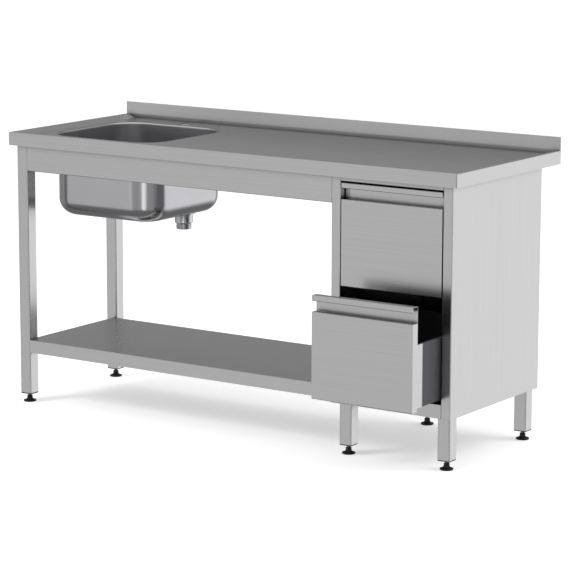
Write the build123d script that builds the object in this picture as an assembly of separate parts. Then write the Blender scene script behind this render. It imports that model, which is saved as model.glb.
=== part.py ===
from build123d import *
import os

os.makedirs("parts", exist_ok=True)

# Stainless work table with a sink at the left, an under-shelf and a two-drawer cabinet at the right.
# Frame: X to the right along the front, Y towards the back, Z up. The origin is on the floor,
# under the middle of the worktop. The lower drawer rests partly open.

# ------------------------------------------------------------------ driving dimensions, mm
LENGTH = 1600.0  # worktop, left to right
DEPTH = 600.0  # worktop, front to back
HEIGHT = 850.0  # floor to the top of the raised rim
UPSTAND_HEIGHT = 40.0  # upstand above the rim
APRON_HEIGHT = 40.0  # turned-down edge of the worktop

TOP_SHEET = 1.2  # worktop, rails and runner brackets
THIN_SHEET = 1.0  # shelf, cabinet, drawers and bowl
BEND = 1.6  # centreline radius of a folded corner

RIM_FLAT = 12.0  # level part of the raised rim
RIM_SLOPE = 30.0  # sloping part of the rim, in plan
RIM_DROP = 10.0  # how far the worktop lies below its rim
APRON_RETURN = 12.0  # inward fold at the foot of the apron
APRON_CORNER = 3.0
HEM = 2.4  # doubled sheet of the upstand
BOARD = 16.0  # board bonded under the worktop

LEG = 40.0  # square leg tube
LEG_WALL = 1.5
LEG_CORNER = 4.0
LEG_BOTTOM = 30.0
FRONT_INSET = 15.0  # worktop's front edge to the legs and drawers
SIDE_INSET = 20.0  # worktop's ends to the legs and cabinet
REAR_INSET = 105.0  # worktop's back edge to the rear legs
RAIL_HEIGHT = 78.0  # rail seen below the apron
RAIL_FLANGE = 20.0
RAIL_LIP = 10.0

SHELF_TOP = 200.0
SHELF_EDGE = 40.0
SHELF_SET_IN = 10.0  # how far the shelf's end runs beside the left legs

CABINET_WIDTH = 400.0
CABINET_BOTTOM = 149.0
CABINET_BACK_INSET = 76.0  # worktop's back edge to the cabinet's back
STILE = 30.0
PLINTH = 40.0  # rail below the lower drawer
TOP_RAIL = 13.0  # strip between the apron and the upper drawer

FRONT_HEIGHT = 299.0  # drawer front with its grip
PANEL_HEIGHT = 251.5  # drawer front without its grip
GRIP_DEPTH = 25.0
GRIP_LIP = 16.5
DRAWER_GAP = 3.0
BOX_LENGTH = 440.0
BOX_HEIGHT = 180.0
BOX_RISE = 11.0  # foot of the drawer front to the foot of its box
BOX_FLOOR_RISE = 18.0  # room for the runners under the box floor
DEEP_RETURN = 52.0  # side fold of the front where it laps the box
RUNNER_LENGTH = 400.0
RUNNER_WIDTH = 30.0
LOWER_OPEN = 150.0  # the lower drawer's opening at rest

BOWL = 400.0  # inside of the square bowl
BOWL_DEPTH = 250.0
BOWL_CORNER = 85.0
BOWL_BOTTOM_RADIUS = 50.0
BOWL_LIP = 6.0  # rolled edge between worktop and bowl
BOWL_CENTRE = (-520.0, -8.0)
TAP_CENTRE = (-520.0, 240.0)
TAP_HOLE_RADIUS = 17.5
TAP_COLLAR = 4.0
WASTE_CENTRE = (-420.0, 92.0)
SUMP_RADIUS = 42.0
SUMP_DEPTH = 3.0
WASTE_HOLE_RADIUS = 26.5
WASTE_CUP_RADIUS = 28.5
WASTE_TAIL_RADIUS = 23.9
WASTE_END = 532.0  # height of the outlet's lower end

FOOT_RADIUS = 19.5
FOOT_NECK = 8.5
FOOT_HEIGHT = 19.0
STEM_RADIUS = 4.95
STEM_TOP = 60.0
INSERT_BORE = 5.0
INSERT_FLANGE = 3.0
INSERT_HEIGHT = 22.0

# ------------------------------------------------------------------ places worked out from them
LEFT, RIGHT = -LENGTH / 2, LENGTH / 2
FRONT, BACK = -DEPTH / 2, DEPTH / 2
SURFACE = HEIGHT - RIM_DROP
APRON_FOOT = HEIGHT - APRON_HEIGHT
BOARD_TOP = SURFACE - TOP_SHEET
FRAME_TOP = BOARD_TOP - BOARD
FACE = FRONT + FRONT_INSET  # front plane of legs, rails, shelf and drawers
LEG_LEFT = LEFT + SIDE_INSET
LEG_REAR = BACK - REAR_INSET - LEG
CAB_RIGHT = RIGHT - SIDE_INSET
CAB_LEFT = CAB_RIGHT - CABINET_WIDTH
CAB_MIDDLE = CAB_RIGHT - CABINET_WIDTH / 2
CAB_BACK = BACK - CABINET_BACK_INSET
CAB_FLOOR = CABINET_BOTTOM + PLINTH
RAIL_FOOT = APRON_FOOT - RAIL_HEIGHT
OPENING_LEFT = CAB_LEFT + STILE
OPENING_RIGHT = CAB_RIGHT - STILE
FRONT_LEFT = OPENING_LEFT + DRAWER_GAP
FRONT_RIGHT = OPENING_RIGHT - DRAWER_GAP
FRONT_FOOT = {
    "lower": CAB_FLOOR + DRAWER_GAP,
    "upper": CAB_FLOOR + 2 * DRAWER_GAP + FRONT_HEIGHT,
}
OPENED = {"lower": LOWER_OPEN, "upper": 0.0}
RUNNER_FRONT = FACE + DEEP_RETURN + DRAWER_GAP
LONG_LEGS = {
    "front_left": (LEG_LEFT, FACE),
    "rear_left": (LEG_LEFT, LEG_REAR),
}
SHORT_LEGS = {
    "front_middle": (OPENING_LEFT, FACE + THIN_SHEET),
    "rear_middle": (OPENING_LEFT, LEG_REAR),
    "front_right": (CAB_RIGHT - THIN_SHEET - LEG, FACE + THIN_SHEET),
    "rear_right": (CAB_RIGHT - THIN_SHEET - LEG, LEG_REAR),
}
LEG_CORNERS = {**LONG_LEGS, **SHORT_LEGS}


# ------------------------------------------------------------------ shape helpers
def block(x, y, z):
    """Box between two limits on each axis."""
    size = [hi - lo for lo, hi in (x, y, z)]
    middle = [(hi + lo) / 2 for lo, hi in (x, y, z)]
    return Pos(*middle) * Box(*size)


def rounded_block(centre, width, depth, corner, z):
    """Upright block with rounded vertical corners, between the two heights in z."""
    outline = RectangleRounded(width, depth, corner)
    return Pos(centre[0], centre[1], z[0]) * extrude(outline, amount=z[1] - z[0])


def disc(centre, radius, z):
    """Upright cylinder between the two heights in z."""
    return Pos(centre[0], centre[1], (z[0] + z[1]) / 2) * Cylinder(radius, z[1] - z[0])


def folded_section(points, thickness):
    """Section of a folded sheet whose centreline runs through the points."""
    return trace(FilletPolyline(*points, radius=BEND), line_width=thickness)


def fold_along_x(points, thickness, x):
    """Folded sheet with (y, z) centreline points, between two places on X."""
    return Pos(x[0], 0, 0) * extrude(Plane.YZ * folded_section(points, thickness), amount=x[1] - x[0])


def fold_along_y(points, thickness, y):
    """Folded sheet with (x, z) centreline points, between two places on Y."""
    profile = Plane.XZ * folded_section(points, thickness)
    return Pos(0, y[0], 0) * extrude(profile, amount=-(y[1] - y[0]))


def fold_along_z(points, thickness, z):
    """Folded sheet with (x, y) centreline points, between two heights."""
    return Pos(0, 0, z[0]) * extrude(folded_section(points, thickness), amount=z[1] - z[0])


def mirrored_in_cabinet(shape):
    """The same piece on the cabinet's other side."""
    return mirror(shape, about=Plane.YZ.offset(CAB_MIDDLE))


# ------------------------------------------------------------------ worktop
def well(grow):
    """Space above the sunken surface inside the rim, grown by a sheet thickness for its underside."""
    slope = RIM_SLOPE / RIM_DROP
    bottom_z = SURFACE - grow
    side = RIM_FLAT + RIM_SLOPE - grow * 0.16
    levels = []
    for z in (bottom_z, HEIGHT + RIM_DROP):
        inset = side - (z - bottom_z) * slope
        x = (LEFT + inset, RIGHT - inset)
        y = (FRONT + inset, BACK - HEM if grow == 0 else BACK + HEM)
        outline = Rectangle(x[1] - x[0], y[1] - y[0])
        levels.append(Pos((x[0] + x[1]) / 2, (y[0] + y[1]) / 2, z) * outline)
    return loft(levels)


def worktop():
    """Sheet top with a rim on three sides, an upstand at the back and turned-down aprons."""
    slab = block((LEFT, RIGHT), (FRONT, BACK), (APRON_FOOT, HEIGHT))
    front_corners = slab.edges().filter_by(Axis.Z).group_by(Axis.Y)[0]
    slab = fillet(front_corners, APRON_CORNER)
    rim_edges = slab.faces().sort_by(Axis.Z)[-1].edges().sort_by(Axis.Y)[:-1]
    slab = fillet(rim_edges, BEND)
    under = block(
        (LEFT + TOP_SHEET, RIGHT - TOP_SHEET),
        (FRONT + TOP_SHEET, BACK - TOP_SHEET),
        (APRON_FOOT, HEIGHT - TOP_SHEET),
    )
    under -= well(TOP_SHEET)
    foot = (APRON_FOOT, APRON_FOOT + TOP_SHEET)
    returns = block((LEFT + TOP_SHEET, RIGHT - TOP_SHEET), (FRONT + TOP_SHEET, BACK - TOP_SHEET), foot)
    returns -= block(
        (LEFT + APRON_RETURN, RIGHT - APRON_RETURN), (FRONT + APRON_RETURN, BACK - APRON_RETURN), foot
    )
    upstand = block((LEFT, RIGHT), (BACK - HEM, BACK), (BOARD_TOP, HEIGHT + UPSTAND_HEIGHT))
    upstand = fillet(upstand.edges().filter_by(Axis.X).group_by(Axis.Z)[-1], HEM * 0.45)
    top = slab - well(0) - under + returns + upstand
    collar = disc(TAP_CENTRE, TAP_HOLE_RADIUS + TAP_COLLAR, (BOARD_TOP, SURFACE + TOP_SHEET * 2))
    collar = fillet(collar.edges().group_by(Axis.Z)[-1], TOP_SHEET * 1.5)
    top += collar
    top -= disc(TAP_CENTRE, TAP_HOLE_RADIUS, (BOARD_TOP - 1, HEIGHT))
    hole = BOWL + 2 * BOWL_LIP
    top -= rounded_block(BOWL_CENTRE, hole, hole, BOWL_CORNER + BOWL_LIP, (BOARD_TOP - 1, HEIGHT))
    return top


def core_board():
    """Board bonded under the worktop, cut out round the bowl and the tap."""
    inset = RIM_FLAT + RIM_SLOPE + TOP_SHEET
    board = block((LEFT + inset, RIGHT - inset), (FRONT + inset, BACK - HEM - TOP_SHEET), (FRAME_TOP, BOARD_TOP))
    cut = BOWL + 4 * BOWL_LIP
    board -= rounded_block(BOWL_CENTRE, cut, cut, BOWL_CORNER + 2 * BOWL_LIP, (FRAME_TOP, BOARD_TOP))
    board -= disc(TAP_CENTRE, TAP_HOLE_RADIUS * 2, (FRAME_TOP, BOARD_TOP))
    return board


# ------------------------------------------------------------------ bowl and waste
BOWL_FLOOR = SURFACE - BOWL_DEPTH
SUMP_FLOOR = BOWL_FLOOR - SUMP_DEPTH
FLANGE_UNDER = SUMP_FLOOR + 1.0  # the upper seal is 1 mm thick
STRAINER_FLOOR = SUMP_FLOOR - 15.0
CUP_TOP = SUMP_FLOOR - THIN_SHEET - 3.0  # the lower seal is 3 mm thick
CUP_FLOOR = WASTE_END + 18.0
SEAL_RADIUS = 34.0


def bowl_space(grow):
    """Inside of the bowl, or with a sheet thickness added, its outside."""
    side = BOWL + 2 * grow
    space = rounded_block(BOWL_CENTRE, side, side, BOWL_CORNER + grow, (BOWL_FLOOR - grow, SURFACE))
    return fillet(space.faces().sort_by(Axis.Z)[0].edges(), BOWL_BOTTOM_RADIUS + grow)


def bowl():
    """Pressed square bowl with a rolled top edge and a shallow sump round the waste."""
    lip = BOWL + 2 * BOWL_LIP
    shell = bowl_space(THIN_SHEET)
    shell += rounded_block(BOWL_CENTRE, lip, lip, BOWL_CORNER + BOWL_LIP, (SURFACE - BOWL_LIP, SURFACE))
    shell += disc(WASTE_CENTRE, SUMP_RADIUS + THIN_SHEET, (SUMP_FLOOR - THIN_SHEET, BOWL_FLOOR))
    shell -= bowl_space(0)
    shell -= disc(WASTE_CENTRE, SUMP_RADIUS, (SUMP_FLOOR, BOWL_FLOOR + THIN_SHEET))
    shell -= disc(WASTE_CENTRE, WASTE_HOLE_RADIUS, (SUMP_FLOOR - 2 * THIN_SHEET, BOWL_FLOOR))
    inner_rim = shell.faces().sort_by(Axis.Z)[-1].inner_wires()[0].edges()
    return fillet(inner_rim, BOWL_LIP - 0.5)


def ring(inner, outer, z):
    """Flat ring on the waste's axis."""
    return disc(WASTE_CENTRE, outer, z) - disc(WASTE_CENTRE, inner, z)


def waste_strainer():
    """Chromed strainer dish with two rings of holes and a hole for its screw."""
    wall, dish = 1.2, WASTE_HOLE_RADIUS - 1.0
    flange_top = FLANGE_UNDER + 1.5
    strainer = disc(WASTE_CENTRE, SUMP_RADIUS - 2.0, (FLANGE_UNDER, flange_top))
    strainer = fillet(strainer.edges().group_by(Axis.Z)[-1], 1.0)
    strainer += disc(WASTE_CENTRE, dish, (STRAINER_FLOOR, flange_top))
    strainer -= disc(WASTE_CENTRE, dish - wall, (STRAINER_FLOOR + wall, flange_top))
    holes = [(6, 10.5), (12, 19.0)]
    for count, radius in holes:
        for place in PolarLocations(radius, count):
            spot = Pos(WASTE_CENTRE[0], WASTE_CENTRE[1], STRAINER_FLOOR + wall / 2) * place
            strainer -= spot * Cylinder(2.5, 2 * wall)
    strainer -= disc(WASTE_CENTRE, 4.0, (STRAINER_FLOOR - 1, STRAINER_FLOOR + 2 * wall))
    return strainer


def waste_body():
    """Cup clamped under the bowl, with a spider for the screw and a threaded tail for the trap."""
    wall = 2.5
    body = disc(WASTE_CENTRE, WASTE_CUP_RADIUS, (CUP_FLOOR, CUP_TOP))
    body = chamfer(body.edges().group_by(Axis.Z)[0], 3.5)
    body += disc(WASTE_CENTRE, SEAL_RADIUS, (CUP_TOP - 4.0, CUP_TOP))
    body += disc(WASTE_CENTRE, WASTE_TAIL_RADIUS, (WASTE_END, CUP_FLOOR + wall))
    body -= disc(WASTE_CENTRE, WASTE_CUP_RADIUS - wall, (CUP_FLOOR + 2 * wall, CUP_TOP))
    body -= disc(WASTE_CENTRE, WASTE_TAIL_RADIUS - wall, (WASTE_END, CUP_TOP))
    half = WASTE_CUP_RADIUS - wall / 2
    x, y = WASTE_CENTRE
    body += block((x - half, x + half), (y - 5.0, y + 5.0), (CUP_FLOOR + wall, CUP_FLOOR + 8.0))
    return body - disc(WASTE_CENTRE, 4.0, (WASTE_END, CUP_TOP))


def waste_screw():
    """Slotted screw that clamps the strainer to the cup."""
    head_foot = STRAINER_FLOOR + 1.2
    screw = disc(WASTE_CENTRE, 7.0, (head_foot, head_foot + 3.0))
    screw = fillet(screw.edges().group_by(Axis.Z)[-1], 1.5)
    x, y = WASTE_CENTRE
    screw -= block((x - 8, x + 8), (y - 0.8, y + 0.8), (head_foot + 1.5, head_foot + 4.0))
    return screw + disc(WASTE_CENTRE, 4.0, (CUP_FLOOR + 1.0, head_foot))


# ------------------------------------------------------------------ frame
def leg(corner, top):
    """Square tube leg from its front-left corner."""
    middle = (corner[0] + LEG / 2, corner[1] + LEG / 2)
    inside = LEG - 2 * LEG_WALL
    tube = rounded_block(middle, LEG, LEG, LEG_CORNER, (LEG_BOTTOM, top))
    return tube - rounded_block(middle, inside, inside, LEG_CORNER - LEG_WALL, (LEG_BOTTOM, top))


def leg_insert(corner):
    """Threaded plastic insert pushed into the foot of a leg."""
    middle = (corner[0] + LEG / 2, corner[1] + LEG / 2)
    side = LEG - 2 * LEG_WALL
    flange = (LEG_BOTTOM - INSERT_FLANGE, LEG_BOTTOM)
    insert = rounded_block(middle, LEG, LEG, LEG_CORNER, flange)
    insert += rounded_block(middle, side, side, LEG_CORNER - LEG_WALL, (LEG_BOTTOM, LEG_BOTTOM + INSERT_HEIGHT))
    return insert - disc(middle, INSERT_BORE, (flange[0], LEG_BOTTOM + INSERT_HEIGHT))


def foot_pad(corner):
    """Round plastic foot, flared below a narrow neck, with a socket for its stem."""
    base, waist = 4.0, 11.0
    with BuildPart() as pad:
        with BuildSketch(Plane.XZ):
            with BuildLine():
                Polyline((0, FOOT_HEIGHT), (0, 0), (FOOT_RADIUS - 1, 0), (FOOT_RADIUS, 1), (FOOT_RADIUS, base))
                Bezier((FOOT_RADIUS, base), (FOOT_NECK + 3, base + 1), (FOOT_NECK, waist))
                Polyline((FOOT_NECK, waist), (FOOT_NECK, FOOT_HEIGHT), (0, FOOT_HEIGHT))
            make_face()
        revolve(axis=Axis.Z)
    middle = (corner[0] + LEG / 2, corner[1] + LEG / 2)
    socket = disc((0, 0), STEM_RADIUS, (FOOT_HEIGHT / 2, FOOT_HEIGHT))
    return Pos(middle[0], middle[1], 0) * (pad.part - socket)


def foot_stem(corner):
    """Threaded stem between the foot and the leg's insert."""
    middle = (corner[0] + LEG / 2, corner[1] + LEG / 2)
    stem = disc(middle, STEM_RADIUS, (FOOT_HEIGHT / 2, STEM_TOP))
    return chamfer(stem.edges().group_by(Axis.Z)[-1], 1.0)


def rail_points(outer, inwards):
    """Centreline of a channel rail: its web at one place, its flanges towards the inside."""
    half = TOP_SHEET / 2
    web = outer + inwards * half
    flange = outer + inwards * RAIL_FLANGE
    low, high = RAIL_FOOT + half, FRAME_TOP - half
    return [(flange, high), (web, high), (web, low), (flange, low), (flange, low + RAIL_LIP)]


def front_rail():
    """Channel under the front apron, from the left leg to the cabinet."""
    return fold_along_x(rail_points(FACE, 1), TOP_SHEET, (LEG_LEFT + LEG, CAB_LEFT))


def rear_rail():
    """Channel behind the rear legs, from the left leg to the cabinet."""
    return fold_along_x(rail_points(LEG_REAR + LEG, 1), TOP_SHEET, (LEG_LEFT, CAB_LEFT))


def left_rail():
    """Channel between the two left legs."""
    return fold_along_y(rail_points(LEG_LEFT, 1), TOP_SHEET, (FACE + LEG, LEG_REAR))


def shelf():
    """Under-shelf with turned-down edges, notched round the front-left leg."""
    x = (LEG_LEFT + LEG - SHELF_SET_IN, CAB_LEFT)
    y = (FACE, LEG_REAR)
    z = (SHELF_TOP - SHELF_EDGE, SHELF_TOP)
    pan = block(x, y, z)
    pan = fillet(pan.edges().filter_by(Axis.X).group_by(Axis.Z)[-1], BEND)
    t = THIN_SHEET
    pan -= block((x[0] + t, x[1] - t), (y[0] + t, y[1] - t), (z[0] + t, z[1] - t))
    pan -= block((x[0] + 14, x[1] - 14), (y[0] + 14, y[1] - 14), (z[0], z[0] + t))
    return pan - block((x[0], LEG_LEFT + LEG), (FACE, FACE + LEG), z)


def shelf_stiffener():
    """Hat channel welded along the underside of the shelf."""
    middle = (FACE + LEG_REAR) / 2
    top = SHELF_TOP - THIN_SHEET - TOP_SHEET / 2
    half, foot, drop = 30.0, 15.0, 24.0
    points = [
        (middle - half - foot, top),
        (middle - half, top),
        (middle - half, top - drop),
        (middle + half, top - drop),
        (middle + half, top),
        (middle + half + foot, top),
    ]
    return fold_along_x(points, TOP_SHEET, (LEG_LEFT + LEG, CAB_LEFT - 2 * THIN_SHEET))


# ------------------------------------------------------------------ cabinet
def cabinet_side():
    """Left side panel with its front stile and its rear flange."""
    half = THIN_SHEET / 2
    points = [
        (OPENING_LEFT - half, FACE + RAIL_FLANGE),
        (OPENING_LEFT - half, FACE + half),
        (CAB_LEFT + half, FACE + half),
        (CAB_LEFT + half, CAB_BACK - half),
        (CAB_LEFT + RAIL_FLANGE, CAB_BACK - half),
    ]
    side = fold_along_z(points, THIN_SHEET, (CABINET_BOTTOM, FRAME_TOP))
    behind_stile = (FACE + THIN_SHEET + BEND, FACE + 2 * RAIL_FLANGE)
    side -= block((OPENING_LEFT - 5, OPENING_LEFT + 5), behind_stile, (CABINET_BOTTOM, CAB_FLOOR))
    return side


def right_cabinet_side():
    """Right side panel, whose stile is cut back behind for the leg."""
    side = mirrored_in_cabinet(cabinet_side())
    pocket = (FACE + THIN_SHEET, FACE + THIN_SHEET + LEG)
    return side - block((OPENING_RIGHT - LEG, CAB_RIGHT - THIN_SHEET), pocket, (CABINET_BOTTOM, CAB_FLOOR))


def cabinet_back():
    """Flat back panel in front of the side panels' rear flanges."""
    y = (CAB_BACK - 2 * THIN_SHEET, CAB_BACK - THIN_SHEET)
    clear = THIN_SHEET + BEND
    return block((CAB_LEFT + clear, CAB_RIGHT - clear), y, (CABINET_BOTTOM, FRAME_TOP))


def cabinet_floor():
    """Floor plate with the rail below the lower drawer and a fold at the back."""
    t = THIN_SHEET
    inside = (CAB_LEFT + t, CAB_RIGHT - t)
    behind_bend = FACE + t + BEND
    rear = CAB_BACK - 2 * t
    floor = block(inside, (behind_bend, rear), (CAB_FLOOR - t, CAB_FLOOR))
    floor += block((OPENING_LEFT, OPENING_RIGHT), (FACE, behind_bend), (CAB_FLOOR - t, CAB_FLOOR))
    floor += block((OPENING_LEFT, OPENING_RIGHT), (FACE, FACE + t), (CABINET_BOTTOM, CAB_FLOOR))
    between_legs = (OPENING_LEFT + LEG + 1, CAB_RIGHT - t - LEG - 1)
    floor += block(between_legs, (FACE, FACE + RAIL_FLANGE), (CABINET_BOTTOM, CABINET_BOTTOM + t))
    floor += block(inside, (rear - t, rear), (CABINET_BOTTOM, CAB_FLOOR))
    return floor


def cabinet_top_rail():
    """Strip between the stiles, above the upper drawer."""
    half = THIN_SHEET / 2
    low, high = APRON_FOOT - TOP_RAIL + half, FRAME_TOP - half
    points = [(FACE + RAIL_FLANGE, high), (FACE + half, high), (FACE + half, low), (FACE + RAIL_FLANGE, low)]
    return fold_along_x(points, THIN_SHEET, (OPENING_LEFT, OPENING_RIGHT))


# ------------------------------------------------------------------ drawers and runners
def drawer_front(foot):
    """Folded front: a panel, a hooked grip along its top and returns down both sides."""
    t, half = THIN_SHEET, THIN_SHEET / 2
    panel_top, top = foot + PANEL_HEIGHT, foot + FRONT_HEIGHT
    near, far = FACE + half, FACE + GRIP_DEPTH - half
    points = [
        (far, foot + half),
        (near, foot + half),
        (near, panel_top - half),
        (far, panel_top - half),
        (far, top - half),
        (near, top - half),
        (near, top - GRIP_LIP + half),
        (near + 7.0, top - GRIP_LIP + half),
    ]
    front = fold_along_x(points, t, (FRONT_LEFT, FRONT_RIGHT))
    box_foot = foot + BOX_RISE
    for outer, inner in ((FRONT_LEFT, 1), (FRONT_RIGHT, -1)):
        skin = sorted((outer, outer + inner * t))
        flange = sorted((outer + inner * t, outer + inner * 15.0))
        front += block(skin, (FACE + t, FACE + GRIP_DEPTH), (foot + t, panel_top - t))
        front += block(skin, (FACE + GRIP_DEPTH, FACE + DEEP_RETURN), (box_foot, box_foot + BOX_HEIGHT))
        front += block(flange, (FACE + GRIP_DEPTH - t, FACE + GRIP_DEPTH), (foot + t, panel_top - t))
    for place in screw_places(foot):
        front -= Pos(*place) * Rot(90, 0, 0) * Cylinder(2.0, 4 * t)
    return front


def screw_places(foot):
    """Centres of the four screws that hold a drawer front to its box."""
    y = FACE + GRIP_DEPTH
    columns = (FRONT_LEFT + 8.5, FRONT_RIGHT - 8.5)
    rows = (foot + BOX_RISE + 45.0, foot + BOX_RISE + BOX_HEIGHT - 25.0)
    return [(x, y, z) for x in columns for z in rows]


def front_screws(foot):
    """Four pan-head screws from inside the box into the front."""
    screws = []
    for x, y, z in screw_places(foot):
        head = Cylinder(4.0, 2.2)
        head = fillet(head.edges().group_by(Axis.Z)[-1], 1.2)
        shank = Pos(0, 0, -1.1 - 2.5) * Cylinder(2.0, 5.0)
        slot = Pos(0, 0, 1.0) * Box(5.0, 0.8, 1.2)
        screws.append(Pos(x, y + THIN_SHEET + 1.1, z) * Rot(-90, 0, 0) * (head + shank - slot))
    return Compound(children=screws)


def drawer_box(foot):
    """Folded drawer box with its floor raised over the runners and its top edges turned in."""
    t = THIN_SHEET
    low = foot + BOX_RISE
    high = low + BOX_HEIGHT
    floor = low + BOX_FLOOR_RISE
    x = (FRONT_LEFT + t, FRONT_RIGHT - t)
    y = (FACE + GRIP_DEPTH, FACE + GRIP_DEPTH + BOX_LENGTH)
    hem = 8.0
    box = block(x, y, (floor, floor + t))
    box += block(x, (y[0], y[0] + t), (low, high))
    box += block(x, (y[1] - t, y[1]), (floor, high))
    for outer, inner in ((x[0], 1), (x[1], -1)):
        box += block(sorted((outer, outer + inner * t)), y, (low, high))
        box += block(sorted((outer, outer + inner * hem)), y, (high - t, high))
    box += block(x, (y[1] - hem, y[1]), (high - t, high))
    for place in screw_places(foot):
        box -= Pos(*place) * Rot(90, 0, 0) * Cylinder(2.0, 4 * t)
    return box


def runner_span(shift):
    """Places on Y between which a runner member lies when drawn out by the shift."""
    return (RUNNER_FRONT - shift, RUNNER_FRONT + RUNNER_LENGTH - shift)


def channel(low, rise, clearance):
    """Centreline of a shallow channel on the runner's axis, open upwards if its rise is positive."""
    half = TOP_SHEET / 2
    left = FRONT_LEFT + 5.0 + clearance + half
    right = FRONT_LEFT + 5.0 + RUNNER_WIDTH - clearance - half
    return [(left, low + rise), (left, low), (right, low), (right, low + rise)]


def runner_bracket(foot):
    """Bracket from the cabinet's side, passing under the drawer's edge to carry the runner."""
    low = foot + BOX_RISE
    half = TOP_SHEET / 2
    wall = CAB_LEFT + THIN_SHEET + half
    near, far = FRONT_LEFT + 7.0, FRONT_LEFT + 33.0
    tray, seat = low - 3.0 + half, low + 5.0 - half
    points = [(wall, low + 37.0), (wall, tray), (near, tray), (near, seat), (far, seat), (far, tray)]
    return fold_along_y(points, TOP_SHEET, runner_span(0.0))


def cabinet_runner(foot):
    """Runner member fixed on the bracket."""
    low = foot + BOX_RISE + 5.0 + TOP_SHEET / 2
    return fold_along_y(channel(low, 8.0, 0.0), TOP_SHEET, runner_span(0.0))


def middle_runner(foot, shift):
    """Middle member, which travels half as far as the drawer."""
    low = foot + BOX_RISE + 7.0 + TOP_SHEET / 2
    return fold_along_y(channel(low, 7.2, 1.6), TOP_SHEET, runner_span(shift))


def drawer_runner(foot, shift):
    """Member fixed under the drawer's floor."""
    low = foot + BOX_RISE + BOX_FLOOR_RISE - TOP_SHEET / 2
    return fold_along_y(channel(low, -8.2, 3.2), TOP_SHEET, runner_span(shift))


# ------------------------------------------------------------------ every node
def build_nodes():
    """Every separate piece by its node name."""
    nodes = {
        "worktop": worktop(),
        "core_board": core_board(),
        "bowl": bowl(),
        "waste_strainer": waste_strainer(),
        "waste_seal_upper": ring(WASTE_HOLE_RADIUS + 0.5, SUMP_RADIUS - 4.0, (SUMP_FLOOR, FLANGE_UNDER)),
        "waste_seal_lower": ring(WASTE_HOLE_RADIUS + 0.5, SEAL_RADIUS, (CUP_TOP, SUMP_FLOOR - THIN_SHEET)),
        "waste_body": waste_body(),
        "waste_screw": waste_screw(),
        "front_rail": front_rail(),
        "rear_rail": rear_rail(),
        "left_rail": left_rail(),
        "leg_inserts": Compound(children=[leg_insert(corner) for corner in LEG_CORNERS.values()]),
        "shelf": shelf(),
        "shelf_stiffener": shelf_stiffener(),
        "cabinet_left_side": cabinet_side(),
        "cabinet_right_side": right_cabinet_side(),
        "cabinet_back": cabinet_back(),
        "cabinet_floor": cabinet_floor(),
        "cabinet_top_rail": cabinet_top_rail(),
    }
    for name, corner in LONG_LEGS.items():
        nodes[f"leg_{name}"] = leg(corner, FRAME_TOP)
    for name, corner in SHORT_LEGS.items():
        nodes[f"leg_{name}"] = leg(corner, CAB_FLOOR - THIN_SHEET)
    for name, corner in LEG_CORNERS.items():
        nodes[f"foot_{name}"] = foot_pad(corner)
        nodes[f"stem_{name}"] = foot_stem(corner)
    for level, foot in FRONT_FOOT.items():
        opened = OPENED[level]
        nodes[f"{level}_drawer_front"] = Pos(0, -opened, 0) * drawer_front(foot)
        nodes[f"{level}_drawer_box"] = Pos(0, -opened, 0) * drawer_box(foot)
        nodes[f"{level}_front_screws"] = Pos(0, -opened, 0) * front_screws(foot)
        pieces = {
            "runner_bracket": runner_bracket(foot),
            "cabinet_runner": cabinet_runner(foot),
            "middle_runner": middle_runner(foot, opened / 2),
            "drawer_runner": drawer_runner(foot, opened),
        }
        for name, piece in pieces.items():
            nodes[f"{level}_left_{name}"] = piece
            nodes[f"{level}_right_{name}"] = mirrored_in_cabinet(piece)
    return nodes


for node_name, shape in build_nodes().items():
    export_step(shape, f"parts/{node_name}.step")
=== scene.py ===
"""Looks of a stainless steel work table with a sink bowl, an under-shelf and two deep drawers."""

import logging
import math
from dataclasses import dataclass, field
from enum import Enum

import bmesh
import bpy
from mathutils import Matrix, Vector


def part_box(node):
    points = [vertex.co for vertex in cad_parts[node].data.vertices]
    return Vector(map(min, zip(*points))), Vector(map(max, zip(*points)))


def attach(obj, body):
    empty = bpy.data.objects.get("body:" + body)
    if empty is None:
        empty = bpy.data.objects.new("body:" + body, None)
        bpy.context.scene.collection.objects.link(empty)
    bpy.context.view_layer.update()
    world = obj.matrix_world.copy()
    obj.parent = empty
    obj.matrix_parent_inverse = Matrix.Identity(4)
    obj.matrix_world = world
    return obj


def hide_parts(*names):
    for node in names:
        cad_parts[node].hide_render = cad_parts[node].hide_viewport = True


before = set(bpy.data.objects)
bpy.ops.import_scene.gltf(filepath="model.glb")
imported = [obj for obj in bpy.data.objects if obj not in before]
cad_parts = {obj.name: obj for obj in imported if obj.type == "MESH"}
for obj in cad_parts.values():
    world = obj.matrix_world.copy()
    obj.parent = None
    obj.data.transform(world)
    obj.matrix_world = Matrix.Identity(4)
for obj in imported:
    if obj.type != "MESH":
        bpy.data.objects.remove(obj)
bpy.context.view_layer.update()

LOG = logging.getLogger("work_table")
MM = 0.001
# A face counts as turned to an axis past this cosine.
FOLD = 0.7
# Where most of a noise pattern's values lie.
NOISE_BAND = {"From Min": 0.3, "From Max": 0.7}
TABLE = "table"
LEVELS = ("upper", "lower")
SIDES = ("left", "right")
PLACES = ("front_left", "rear_left", "front_middle", "rear_middle", "front_right", "rear_right")


# ------------------------------------------------------------------ colours and nodes
def linear(colour: str, alpha: float = 1.0) -> tuple[float, float, float, float]:
    """Turns an sRGB hex colour into the linear values a shader works in.

    Args:
        colour: Colour as "#RRGGBB".
        alpha: Opacity to put behind the three channels.

    Returns:
        Linear red, green and blue, and the opacity.
    """
    channels = [int(colour[place : place + 2], 16) / 255 for place in (1, 3, 5)]
    red, green, blue = (c / 12.92 if c <= 0.04045 else ((c + 0.055) / 1.055) ** 2.4 for c in channels)
    return (red, green, blue, alpha)


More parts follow.
